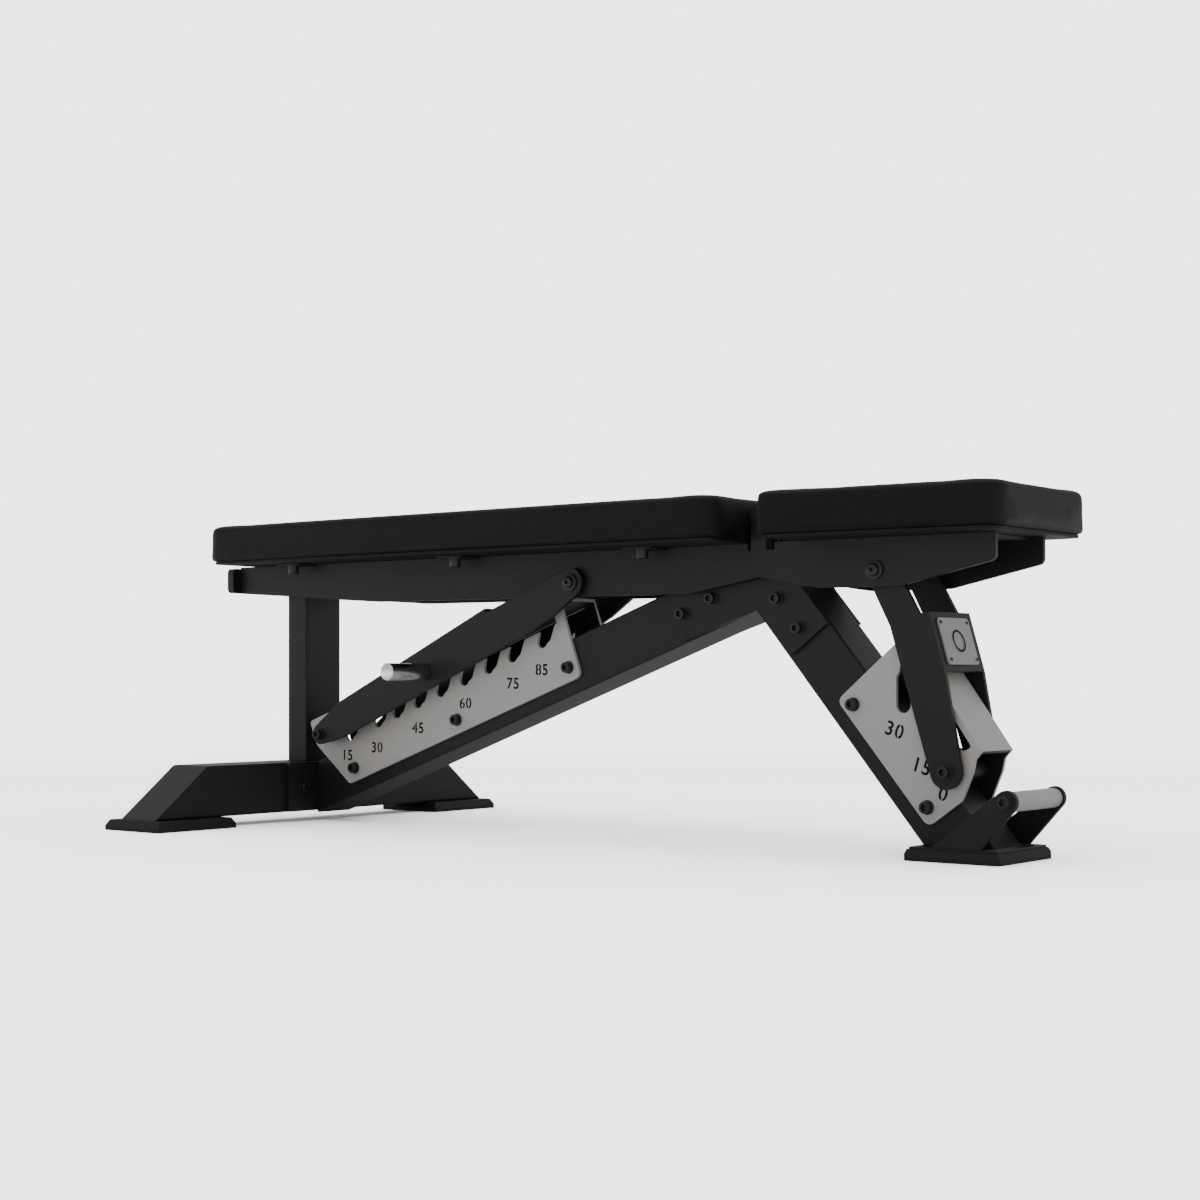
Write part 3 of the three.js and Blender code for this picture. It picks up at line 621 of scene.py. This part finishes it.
@dataclass
class Hardware:
    """Every screw, nut and pivot end on the bench.

    Attributes:
        head_height: How far a through bolt's head stands out in the CAD frame.
        nut_height: How far its nut does.
    """

    head_height: float = 9 * MM
    nut_height: float = 7 * MM

    def through_bolt(self, node: str, body: str) -> None:
        """Replaces a CAD through bolt by its head and nut."""
        low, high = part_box(node)
        centre = node_centre(node)
        bm = bmesh.new()
        head_seat = Vector((centre.x, low[1] + self.head_height, centre.z))
        nut_seat = Vector((centre.x, high[1] - self.nut_height, centre.z))
        CAP_SCREW.build(bm, head_seat, Vector((0, -1, 0)))
        lock_nut(bm, nut_seat, Vector((0, 1, 0)))
        self._stand_in(f"{node}_detail", bm, body, node)

    def pivot(self, node: str, body: str, head_reach: float = 7.5 * MM) -> None:
        """Replaces a CAD strut axle by its shaft and two button heads on washers."""
        low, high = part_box(node)
        centre = node_centre(node)
        bm = bmesh.new()
        for sign, end in ((-1, low[1]), (1, high[1])):
            seat = Vector((centre.x, end - sign * head_reach, centre.z))
            PIVOT_SCREW.build(bm, seat, Vector((0, sign, 0)))
        shaft = bmesh.new()
        length = high[1] - low[1] - 2 * head_reach
        disc(shaft, 7 * MM, length)
        aim(shaft, Vector((centre.x, low[1] + head_reach, centre.z)), Vector((0, 1, 0)))
        absorb(bm, shaft)
        self._stand_in(f"{node}_detail", bm, body, node)

    def ladder_pin(self, strut: str, side: Side) -> None:
        """Replaces a CAD ladder pin by its screw head and the bush that runs on the ladder."""
        node = f"{strut}_ladder_pin_{side.label}"
        low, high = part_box(node)
        centre = node_centre(node)
        inner, outer = sorted((low[1], high[1]), key=abs)
        outward = Vector((0, side.value, 0))
        bm = bmesh.new()
        seat = Vector((centre.x, outer - side.value * self.head_height, centre.z))
        CAP_SCREW.build(bm, seat, outward)
        bush = bmesh.new()
        sheet = 6.6 * MM
        length = abs(outer - inner) - self.head_height - sheet
        top = disc(bush, (high[0] - low[0]) / 2, length, 36)
        soften(bush, top, 0.8 * MM)
        aim(bush, Vector((centre.x, inner, centre.z)), outward)
        absorb(bm, bush)
        self._stand_in(f"{node}_detail", bm, f"{strut}_strut", node)

    def seat_pin_bar(self, radius: float = 13 * MM, reach: float = 35 * MM) -> None:
        """Adds the part of the seat strut's pin that shows between the front ladder's plates."""
        centre = node_centre("seat_ladder_pin_left")
        bm = bmesh.new()
        disc(bm, radius, 2 * reach)
        aim(bm, Vector((centre.x, -reach, centre.z)), Vector((0, 1, 0)))
        make_piece("seat_ladder_pin_bar", bm, "seat_strut", "black_steel", 35)

    def flange_bolt(self, side: Side) -> None:
        """Replaces a CAD flange bolt by its head, which faces the seat."""
        node = f"flange_bolt_{side.label}"
        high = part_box(node)[1]
        centre = node_centre(node)
        bm = bmesh.new()
        CAP_SCREW.build(bm, Vector((high[0] - self.head_height, centre.y, centre.z)), Vector((1, 0, 0)))
        self._stand_in(f"{node}_detail", bm, "base", node)

    def strap_bolts(self, name: str, offset: float = 80 * MM) -> None:
        """Adds the two button screws that hold a strap up to the pad's board."""
        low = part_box(name)[0]
        centre = node_centre(name)
        bm = bmesh.new()
        for side in Side:
            BUTTON_SCREW.build(bm, Vector((centre.x, side.value * offset, low[2])), Vector((0, 0, -1)))
        make_piece(f"{name}_screws", bm, name.split("_")[0], "black_steel", 35)

    def _stand_in(self, name: str, bm: bmesh.types.BMesh, body: str, node: str) -> None:
        """Makes a piece that stands for a CAD node."""
        piece = make_piece(name, bm, body, "black_steel", 35)
        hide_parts(node)

    def build(self) -> None:
        """Builds all the fasteners."""
        counts = {"gusset_bolt": 4, "rear_ladder_bolt": 3, "front_ladder_bolt": 2}
        for stem, count in counts.items():
            for number in range(1, count + 1):
                self.through_bolt(f"{stem}_{number}", "base")
        self.through_bolt("handle_bolt", "base")
        self.pivot("backrest_strut_axle", "backrest")
        self.pivot("seat_strut_axle", "seat")
        for side in Side:
            self.ladder_pin("backrest", side)
            self.ladder_pin("seat", side)
            self.flange_bolt(side)
        self.seat_pin_bar()
        for place in ("rear", "middle", "front"):
            self.strap_bolts(f"backrest_strap_{place}")
        log.info("fasteners built")


# ------------------------------------------------------------------ bars


@dataclass
class Bars:
    """The two round grips of the backrest's strut and the lift handle at the front."""

    chamfer: float = 1.2 * MM

    def round_bar(self, node: str, body: str, slot: str) -> None:
        """Replaces a CAD bar along Y by a smooth one with chamfered ends."""
        low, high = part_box(node)
        centre = node_centre(node)
        bm = bmesh.new()
        radius = (high[0] - low[0]) / 2
        top = disc(bm, radius, high[1] - low[1], 64)
        soften(bm, top, self.chamfer, 3)
        bottom = min((f for f in bm.faces if len(f.verts) > 4), key=lambda f: f.calc_center_median().z)
        soften(bm, bottom, self.chamfer, 3)
        aim(bm, Vector((centre.x, low[1], centre.z)), Vector((0, 1, 0)))
        bar = make_piece(f"{node}_bar", bm, body, slot, 30)
        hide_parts(node)

    def build(self) -> None:
        """Builds the bars."""
        for side in Side:
            self.round_bar(f"strut_grip_{side.label}", "backrest_strut", "brushed_steel")
        self.round_bar("lift_handle", "base", "handle_powder_coat")
        log.info("bars built")


# ------------------------------------------------------------------ pads


@dataclass
class Pad:
    """A foam pad under stretched vinyl, flat where it rests on its board.

    Attributes:
        node: The CAD solid that it stands for.
        body: The body that it moves with.
        front_half: Half of its width at its front.
        rear_corner: The radius of its two rear corners, seen from above.
        front_corner: The radius of its two front corners.
        edge: The radius of its upper edge.
        hem: The radius of its lower edge.
        swell: How far the cover may move as the foam fills it.
        voxel: The size of the mesh that is simulated.
        pressure: How hard the foam presses outwards.
        frames: How many frames the simulation runs for.
    """

    node: str
    body: str
    front_half: float
    rear_corner: float
    front_corner: float
    edge: float = 8 * MM
    hem: float = 3.5 * MM
    swell: float = 1.6 * MM
    voxel: float = 5 * MM
    pressure: float = 4.0
    frames: int = 20

    def shell(self) -> bmesh.types.BMesh:
        """The pad before it swells, a little inside its CAD solid."""
        low, high = (Vector(corner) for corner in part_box(self.node))
        slack = self.swell * 0.6
        bm = bmesh.new()
        rear, front = low.x + slack, high.x - slack
        rear_half, front_half = high.y - slack, self.front_half - slack
        corners = [(rear, -rear_half), (front, -front_half), (front, front_half), (rear, rear_half)]
        verts = [bm.verts.new((x, y, low.z)) for x, y in corners]
        bm.faces.new(verts)
        for pair, radius in ((verts[1:3], self.front_corner), ((verts[0], verts[3]), self.rear_corner)):
            bmesh.ops.bevel(
                bm, geom=list(pair), offset=radius, offset_type="OFFSET", segments=12, profile=0.5,
                affect="VERTICES", material=-1,
            )
        bm.faces.ensure_lookup_table()
        base = bm.faces[0]
        lifted = bmesh.ops.extrude_face_region(bm, geom=[base], use_keep_orig=True)["geom"]
        lift(bm, lifted, high.z - low.z)
        crown = next(f for f in lifted if isinstance(f, bmesh.types.BMFace))
        soften(bm, crown, self.edge, 5)
        underside = min((f for f in bm.faces if len(f.verts) > 4), key=lambda f: f.calc_center_median().z)
        soften(bm, underside, self.hem, 2)
        bmesh.ops.recalc_face_normals(bm, faces=bm.faces[:])
        return bm

    def build(self) -> bpy.types.Object:
        """Returns:
            The finished pad.
        """
        mesh = bpy.data.meshes.new(f"{self.node}_cover")
        bm = self.shell()
        bm.to_mesh(mesh)
        bm.free()
        pad = bpy.data.objects.new(f"{self.node}_cover", mesh)
        bpy.context.collection.objects.link(pad)
        bpy.context.view_layer.objects.active = pad
        mesh.remesh_voxel_size = self.voxel
        mesh.use_remesh_preserve_volume = True
        with bpy.context.temp_override(active_object=pad, object=pad):
            bpy.ops.object.voxel_remesh()
        self.fill(pad)
        self.iron(pad)
        mesh = pad.data
        mesh.polygons.foreach_set("use_smooth", [True] * len(mesh.polygons))
        smoother = pad.modifiers.new("smoother", "SUBSURF")
        smoother.levels = smoother.render_levels = 1
        mesh.materials.append(bpy.data.materials["vinyl"])
        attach(pad, self.body)
        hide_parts(self.node)
        log.info("%s has %d faces before subdivision", pad.name, len(mesh.polygons))
        return pad

    def fill(self, pad: bpy.types.Object) -> None:
        """Swells the cover by cloth simulation, with its underside held to the board.

        Args:
            pad: The remeshed cover, whose vertices are moved.
        """
        scene = bpy.context.scene
        floor = min(v.co.z for v in pad.data.vertices)
        held = pad.vertex_groups.new(name="held")
        held.add([v.index for v in pad.data.vertices if v.co.z < floor + self.voxel], 1.0, "REPLACE")
        before = [v.co.copy() for v in pad.data.vertices]
        cloth = pad.modifiers.new("cloth", "CLOTH")
        cloth.settings.use_pressure = True
        cloth.settings.uniform_pressure_force = self.pressure
        cloth.settings.effector_weights.gravity = 0.0
        cloth.settings.vertex_group_mass = held.name
        cloth.point_cache.frame_start = 1
        cloth.point_cache.frame_end = self.frames
        for number in range(1, self.frames + 1):
            scene.frame_set(number)
        shaped = pad.evaluated_get(bpy.context.evaluated_depsgraph_get())
        after = [v.co.copy() for v in shaped.data.vertices]
        pad.modifiers.remove(cloth)
        for vert, old, new in zip(pad.data.vertices, before, after):
            move = new - old
            if move.length > self.swell:
                move = move.normalized() * self.swell
            vert.co = old + move
        scene.frame_set(1)

    def iron(self, pad: bpy.types.Object, rounds: int = 4) -> None:
        """Evens out the small steps that remeshing leaves in the cover.

        Args:
            pad: The cover, whose vertices are moved.
            rounds: How many times it is smoothed.
        """
        bm = bmesh.new()
        bm.from_mesh(pad.data)
        for _ in range(rounds):
            bmesh.ops.smooth_vert(
                bm, verts=bm.verts[:], factor=0.5, use_axis_x=True, use_axis_y=True, use_axis_z=True
            )
        bm.to_mesh(pad.data)
        bm.free()


# ------------------------------------------------------------------ ladders


FONT_DIGIT_HEIGHT = 0.7  # how tall a digit is at a font size of 1


@dataclass
class LadderDial:
    """The angle numbers cut into one ladder's two side plates, drawn as thin black sheets on the plates: painted
    shade for the dark inside of the ladder seen through the cut-outs.

    Attributes:
        name: The ladder's node.
        labels: Each number, with its middle in X and Z.
        height: The height of the numbers.
        tilt: How far they lean clockwise, in degrees, seen from the left.
        face: How far from the plane of symmetry the plate's outer face is.
        bridge: The width of the stencil bridges.
        weight: How much bolder than the plain font the numbers are, on each side of a stroke.
        thickness: How far they stand off the plate.
    """

    name: str
    labels: dict[str, tuple[float, float]]
    height: float
    tilt: float
    face: float = 40.3 * MM
    bridge: float = 1.3 * MM
    weight: float = 0.35 * MM
    thickness: float = 0.12 * MM

    def glyph(self, text: str) -> bmesh.types.BMesh:
        """One number as a thin stencil-cut plate, centred and upright in X and Y."""
        curve = bpy.data.curves.new(f"number_{text}", "FONT")
        curve.body = text
        curve.align_x, curve.align_y = "CENTER", "CENTER"
        curve.size = self.height / FONT_DIGIT_HEIGHT
        curve.space_character = 1.12
        curve.resolution_u = 3
        curve.offset = self.weight
        holder = bpy.data.objects.new("number", curve)
        bpy.context.collection.objects.link(holder)
        bpy.context.view_layer.update()
        flat = bpy.data.meshes.new_from_object(holder.evaluated_get(bpy.context.evaluated_depsgraph_get()))
        bpy.data.objects.remove(holder)
        bm = bmesh.new()
        bm.from_mesh(flat)
        bpy.data.meshes.remove(flat)
        low = Vector([min(v.co[i] for v in bm.verts) for i in range(3)])
        high = Vector([max(v.co[i] for v in bm.verts) for i in range(3)])
        middle = (low + high) / 2
        bmesh.ops.translate(bm, vec=-middle, verts=bm.verts[:])
        width = (high.x - low.x) / len(text)
        for place, digit in enumerate(text):
            if digit in "04689":
                self.cut_bridge(bm, (place + 0.5) * width - (high.x - low.x) / 2)
        solid = bmesh.ops.extrude_face_region(bm, geom=bm.faces[:], use_keep_orig=True)["geom"]
        lift(bm, solid, self.thickness)
        return bm

    def cut_bridge(self, bm: bmesh.types.BMesh, x: float) -> None:
        """Cuts an upright slit through a flat number."""
        for edge in (x - self.bridge / 2, x + self.bridge / 2):
            geom = bm.verts[:] + bm.edges[:] + bm.faces[:]
            bmesh.ops.bisect_plane(bm, geom=geom, plane_co=(edge, 0, 0), plane_no=(1, 0, 0))
        inside = [f for f in bm.faces if abs(f.calc_center_median().x - x) < self.bridge / 2]
        bmesh.ops.delete(bm, geom=inside, context="FACES")

    def build(self) -> None:
        """Builds the numbers of both side plates."""
        for side in Side:
            bm = bmesh.new()
            for text, (x, z) in self.labels.items():
                number = self.glyph(text)
                spin = Matrix.Rotation(math.radians(-self.tilt), 4, "Z")
                upright = Matrix.Rotation(math.radians(90), 4, "X")
                turned = upright @ spin
                if side is Side.RIGHT:
                    turned = Matrix.Rotation(math.radians(180), 4, "Z") @ upright @ spin.inverted()
                place = Matrix.Translation((x, side.value * (self.face + HAIR), z))
                bmesh.ops.transform(number, matrix=place @ turned, verts=number.verts[:])
                absorb(bm, number)
            # black sheets on the plate: painted shade for the ladder's dark inside seen through the cut-out
            # numbers
            numbers = make_piece(f"{self.name}_numbers_{side.label}", bm, "base", "number_ink")
        log.info("%s numbers built", self.name)


@dataclass
class Linkage:
    """Where a strut's pin seats in its ladder as the pad above it tilts.

    Attributes:
        hinge: The hinge's X and Z.
        pivot: The strut's upper pivot at rest.
        pin: The strut's ladder pin at rest.
        elbow: The inside corner where the frame's two tubes meet.
        slope: The tube's angle above level, in degrees.
        turn: -1 for the backrest and 1 for the seat.
    """

    hinge: Vector
    pivot: Vector
    pin: Vector
    elbow: Vector
    slope: float
    turn: int
    seat_height: float = 90 * MM

    def seat(self, tilt: float) -> Vector:
        """The X and Z of the pin at a tilt in degrees."""
        arm = self.pivot - self.hinge
        arm.rotate(Matrix.Rotation(math.radians(tilt * self.turn), 2))
        along = Vector((math.cos(math.radians(self.slope)), math.sin(math.radians(self.slope))))
        across = Vector((-along.y, along.x))
        reach = self.hinge + arm - self.elbow
        height = reach.dot(across) - self.seat_height
        length = (self.pivot - self.pin).length
        run = reach.dot(along) + self.turn * math.sqrt(length**2 - height**2)
        return self.elbow + along * run + across * self.seat_height


def flat(point: Sequence[float]) -> Vector:
    """The X and Z of a point, as a 2D vector."""
    return Vector((point[0], point[2]))


def joint_place(name: str) -> Vector:
    """The X and Z of a joint."""
    return flat(next(j for j in frame["joints"] if j["name"] == name)["pos_m"])


ELBOW = Vector((286.8, 304.4)) * MM


def rear_dial() -> LadderDial:
    """The rear ladder's numbers, each below the pocket it names."""
    linkage = Linkage(
        joint_place("backrest_hinge"), joint_place("backrest_strut_hinge"),
        flat(node_centre("backrest_ladder_pin_left")), ELBOW, 19.9, -1,
    )
    spots = {
        "15": (-1, 32.5), "30": (1, 41), "45": (3.2, 39.8), "60": (5.4, 36), "75": (4, 40.5), "85": (2, 41),
    }
    labels = {}
    for text, (shift, drop) in spots.items():
        pocket = linkage.seat(float(text))
        labels[text] = (pocket.x + shift * MM, pocket.y - drop * MM)
    return LadderDial("rear_ladder", labels, 15.4 * MM, 0.0)


def front_dial() -> LadderDial:
    """The front ladder's numbers, on a line that runs down beside the leg."""
    slope = math.radians(-49.9)
    along = Vector((math.cos(slope), math.sin(slope)))
    across = Vector((-along.y, along.x))
    spots = {"30": (247, 62.2), "15": (305.5, 63.5), "0": (347.5, 64.5)}
    labels = {}
    for text, (run, height) in spots.items():
        spot = ELBOW + along * run * MM + across * height * MM
        labels[text] = (spot.x, spot.y)
    return LadderDial("front_ladder", labels, 17.5 * MM, 17.0)


# ------------------------------------------------------------------ badge


@dataclass
class Badge:
    """Four rivets and a plain ring on the badge plate of the seat's strut."""

    rivet: float = 2.2 * MM
    margin: float = 5.5 * MM
    ring: float = 13 * MM
    ring_width: float = 2.2 * MM

    def build(self) -> None:
        """Builds the rivets and the ring on the plate's outer face."""
        low, high = (Vector(corner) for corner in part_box("badge_plate"))
        top = Vector((low.x, 0, high.z))
        bottom = Vector((high.x, 0, low.z))
        down = (bottom - top).normalized()
        length = math.hypot(high.x - low.x, high.z - low.z)
        outward = Vector((-down.z, 0, down.x))
        plate = frame["nodes"]["badge_plate"].data
        plate.materials[0] = bpy.data.materials["badge_print"]
        face = max(v.co.dot(outward) for v in plate.vertices)
        centre = node_centre("badge_plate")
        centre += outward * (face - centre.dot(outward) + HAIR)
        rivets = bmesh.new()
        reach_y = high.y - self.margin
        reach_z = length / 2 - self.margin - 1 * MM
        for across in (-reach_y, reach_y):
            for run in (-reach_z, reach_z):
                rivet = bmesh.new()
                soften(rivet, disc(rivet, self.rivet, 1.1 * MM, 20), 0.8 * MM, 3)
                aim(rivet, centre + down * run + Vector((0, across, 0)), outward)
                absorb(rivets, rivet)
        make_piece("badge_rivets", rivets, "seat_strut", "black_steel", 40)
        mark = bmesh.new()
        profile = [
            (self.ring - self.ring_width / 2, 0), (self.ring + self.ring_width / 2, 0),
            (self.ring + self.ring_width / 2, 0.3 * MM), (self.ring - self.ring_width / 2, 0.3 * MM),
        ]
        verts = [mark.verts.new((x, 0, z)) for x, z in profile]
        loop = [mark.edges.new((verts[i], verts[(i + 1) % 4])) for i in range(4)]
        bmesh.ops.spin(
            mark, geom=verts + loop, cent=(0, 0, 0), axis=(0, 0, 1), angle=math.tau, steps=48,
            use_merge=True,
        )
        bmesh.ops.remove_doubles(mark, verts=mark.verts[:], dist=0.001 * MM)
        aim(mark, centre, outward)
        make_piece("badge_ring", mark, "seat_strut", "number_ink", 30)
        log.info("badge built")


# ------------------------------------------------------------------ studio


@dataclass
class Studio:
    """The floor, the backdrop, the lights and the camera.

    Attributes:
        surround: The colour that lights the bench from all round.
        backdrop: The brighter colour that is seen behind the bench.
        floor_radius: How far the floor reaches.
        eye: Where the camera is.
        heading: The way it looks, in degrees turned left from +Y.
        lens: Its focal length in millimetres, on a sensor 36 mm wide.
        rise: How far the picture is shifted up, in widths of the picture.
    """

    surround: Colour = grey(0.835)
    backdrop: Colour = grey(3.6)
    floor_radius: float = 12.0
    eye: tuple[float, float, float] = (1.762, -2.221, 0.2243)
    heading: float = 38.38
    lens: float = 61.43
    rise: float = 0.06125

    def camera(self) -> None:
        """A level camera at about a lifter's shin height, looking along the bench."""
        data = bpy.data.cameras.new("camera")
        data.lens = self.lens
        data.sensor_width = 36.0
        data.shift_y = self.rise
        data.clip_end = 60.0
        camera = bpy.data.objects.new("camera", data)
        bpy.context.collection.objects.link(camera)
        camera.location = self.eye
        camera.rotation_euler = (math.radians(90), 0, math.radians(self.heading))
        bpy.context.scene.camera = camera

    def area(self, name: str, place: Sequence[float], size: float, power: float) -> None:
        """Adds a soft square light that faces the bench's middle.

        Args:
            name: The light's name.
            place: Where it is.
            size: Its side.
            power: Its power in watts.
        """
        data = bpy.data.lights.new(name, "AREA")
        data.size = size
        data.energy = power
        light = bpy.data.objects.new(name, data)
        bpy.context.collection.objects.link(light)
        light.location = place
        light.rotation_euler = (Vector((0, 0, 0.2)) - Vector(place)).to_track_quat("-Z", "Y").to_euler()

    def floor(self) -> None:
        """A round pale floor that fades out into the backdrop."""
        bm = bmesh.new()
        bmesh.ops.create_circle(bm, cap_ends=True, radius=self.floor_radius, segments=96)
        bmesh.ops.translate(bm, vec=(0, 0, -0.2 * MM), verts=bm.verts[:])
        mesh = bpy.data.meshes.new("floor")
        bm.to_mesh(mesh)
        bm.free()
        floor = bpy.data.objects.new("floor", mesh)
        bpy.context.collection.objects.link(floor)
        paper = SeamlessPaper("paper", grey(0.8), grey(3.45), self.backdrop, 1.6, 4.0)
        mesh.materials.append(paper.material())

    def world(self) -> None:
        """An even pale surround, brighter where the camera sees it."""
        world = bpy.data.worlds.new("surround")
        bpy.context.scene.world = world
        world.use_nodes = True
        tree = world.node_tree
        path = tree.nodes.new("ShaderNodeLightPath")
        colour = tree.nodes.new("ShaderNodeMix")
        colour.data_type = "RGBA"
        colour.inputs[6].default_value = self.surround
        colour.inputs[7].default_value = self.backdrop
        tree.links.new(path.outputs["Is Camera Ray"], colour.inputs[0])
        tree.links.new(colour.outputs[2], tree.nodes["Background"].inputs["Color"])

    def build(self) -> None:
        """Builds the studio."""
        self.camera()
        self.world()
        self.floor()
        self.area("overhead", (0.3, -0.4, 3.0), 3.0, 22.0)
        log.info("studio built")


# ------------------------------------------------------------------ bench


def dress_nodes() -> None:
    """Gives every CAD node the material of its slot in the record."""
    for entry in frame["record"]["subparts"]:
        data = frame["nodes"][entry["node"]].data
        data.materials.clear()
        data.materials.append(bpy.data.materials[entry["material_slot"]])


def main() -> None:
    """Builds the looks of the whole bench."""
    logging.basicConfig(level=logging.INFO, format="%(message)s")
    for node in frame["nodes"].values():
        node.data.materials.clear()
    for finish in FINISHES:
        for old in [m for m in bpy.data.materials if m.name == finish.name]:
            bpy.data.materials.remove(old)
        finish.material()
    Studio().build()
    dress_nodes()
    Hardware().build()
    Bars().build()
    Pad("backrest_pad", "backrest", 151 * MM, 30 * MM, 30 * MM).build()
    Pad("seat_pad", "seat", 127 * MM, 10 * MM, 32 * MM).build()
    rear_dial().build()
    front_dial().build()
    Badge().build()


if __name__ == "__main__":
    main()
